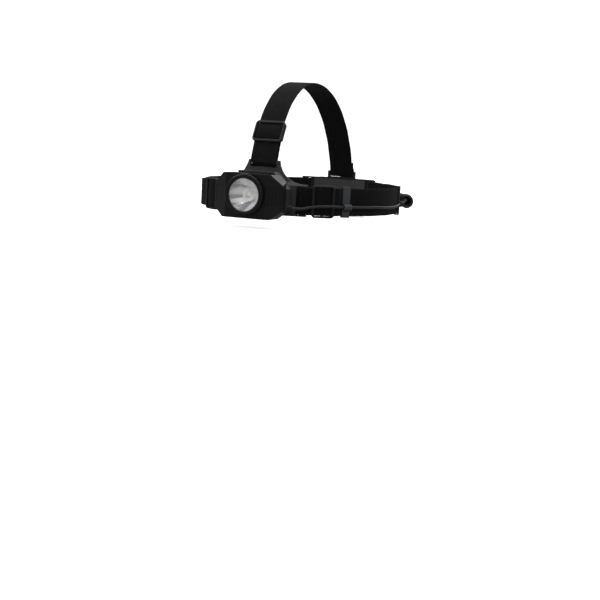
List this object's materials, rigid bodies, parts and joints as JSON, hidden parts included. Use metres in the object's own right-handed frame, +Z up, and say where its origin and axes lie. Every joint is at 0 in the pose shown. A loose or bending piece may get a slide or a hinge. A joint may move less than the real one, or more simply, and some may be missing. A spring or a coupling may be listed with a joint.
{
  "type": "miner's cap lamp",
  "caption": "Cap lamp on a helmet harness: a tilting lamp head on a bracket, head and crown webbing with slide adjusters, and a rear battery case joined by a clipped curly cord.",
  "frame": {"origin": "centre of the head loop's front half circle, at the side webbing's mid height", "axes": "+Z up along the wearer's head, the beam points along -Y, +X is the wearer's left, where the cord runs"},
  "size_m": [0.2298, 0.3019, 0.1582],
  "materials": {
    "bracket_plastic": "dark grey moulded nylon, satin",
    "foam": "closed-cell foam, matte",
    "steel": "zinc plated",
    "rubber": "soft matte rubber",
    "lamp_plastic": "black ABS, fine satin texture",
    "clear_lens": "clear polycarbonate",
    "reflector_metal": "vacuum metallised, mirror bright",
    "led": "phosphor under a clear dome",
    "white_plastic": "white insulator",
    "board_white": "white solder mask on aluminium",
    "aluminium": "turned, bead blasted",
    "board_green": "green solder mask",
    "webbing": "black woven elastic webbing",
    "adjuster_plastic": "black acetal, satin",
    "grey_plastic": "mid grey moulded plastic",
    "dark_grey_plastic": "dark grey moulded plastic",
    "cord_jacket": "black PVC jacket, slightly glossy",
    "case_plastic": "black ABS, fine satin texture",
    "nickel": "nickel plated spring steel",
    "cell_wrap": "printed sleeve without lettering",
    "button_rubber": "red silicone",
    "black_plastic": "black"
  },
  "bodies": {
    "harness": {"front_bracket": "bracket_plastic", "bracket_pad": "foam", "lamp_hinge_pin": "steel", "front_cord_gland": "rubber", "side_strap_left": "webbing", "side_strap_right": "webbing", "crown_strap": "webbing", "cord_clip_rear": "dark_grey_plastic", "lamp_cord": "cord_jacket", "curly_cord": "cord_jacket", "battery_lead": "cord_jacket", "battery_case": "case_plastic", "rear_pad": "foam", "rear_cord_gland": "rubber", "contact_plate_left": "nickel", "contact_plate_right": "nickel", "contact_springs": "nickel", "cell_top": "cell_wrap", "cell_middle": "cell_wrap", "cell_bottom": "cell_wrap", "switch_board": "board_green", "switch_body": "black_plastic", "cover_seal": "rubber", "cover_hinge_pin": "steel"},
    "lamp_head": {"lamp_housing": "lamp_plastic", "lamp_back": "lamp_plastic", "lamp_back_seal": "rubber", "lamp_screws": "steel", "lens_ring": "lamp_plastic", "lens": "clear_lens", "lens_seal": "rubber", "reflector": "reflector_metal", "led_emitter": "led", "led_holder": "white_plastic", "led_board": "board_white", "heat_sink": "aluminium", "driver_board": "board_green", "lamp_grommet": "rubber"},
    "left_adjuster": {"side_adjuster_left": "adjuster_plastic"},
    "right_adjuster": {"side_adjuster_right": "adjuster_plastic"},
    "top_adjuster": {"crown_adjuster": "adjuster_plastic"},
    "front_clip": {"cord_clip_front": "grey_plastic"},
    "cover": {"battery_cover": "case_plastic"},
    "button": {"power_button": "button_rubber"}
  },
  "joints": [
    {"name": "lamp_tilt", "type": "hinge", "parent": "harness", "child": "lamp_head", "pos_m": [0, -0.1184, -0.014], "axis": [1, 0, 0], "range_deg": [0, 50]},
    {"name": "left_adjuster_slide", "type": "hinge", "parent": "harness", "child": "left_adjuster", "pos_m": [0, 0, 0], "axis": [0, 0, 1], "range_deg": [-2.4, 1.2]},
    {"name": "right_adjuster_slide", "type": "hinge", "parent": "harness", "child": "right_adjuster", "pos_m": [0, 0, 0], "axis": [0, 0, -1], "range_deg": [-2.4, 14]},
    {"name": "top_adjuster_slide", "type": "hinge", "parent": "harness", "child": "top_adjuster", "pos_m": [0, 0.01888, 0.01019], "axis": [-1, 0, 0], "range_deg": [-3, 4.5]},
    {"name": "front_clip_slide", "type": "hinge", "parent": "harness", "child": "front_clip", "pos_m": [0, 0, 0], "axis": [0, 0, 1], "range_deg": [0, 8]},
    {"name": "cover_hinge", "type": "hinge", "parent": "harness", "child": "cover", "pos_m": [0, 0.1466, -0.0276], "axis": [-1, 0, 0], "range_deg": [0, 110]},
    {"name": "button_press", "type": "slide", "parent": "harness", "child": "button", "axis": [1, 0, 0], "range_m": [0, 0.001], "stiffness_N_per_m": 400, "springref_m": -0.0015}
  ]
}
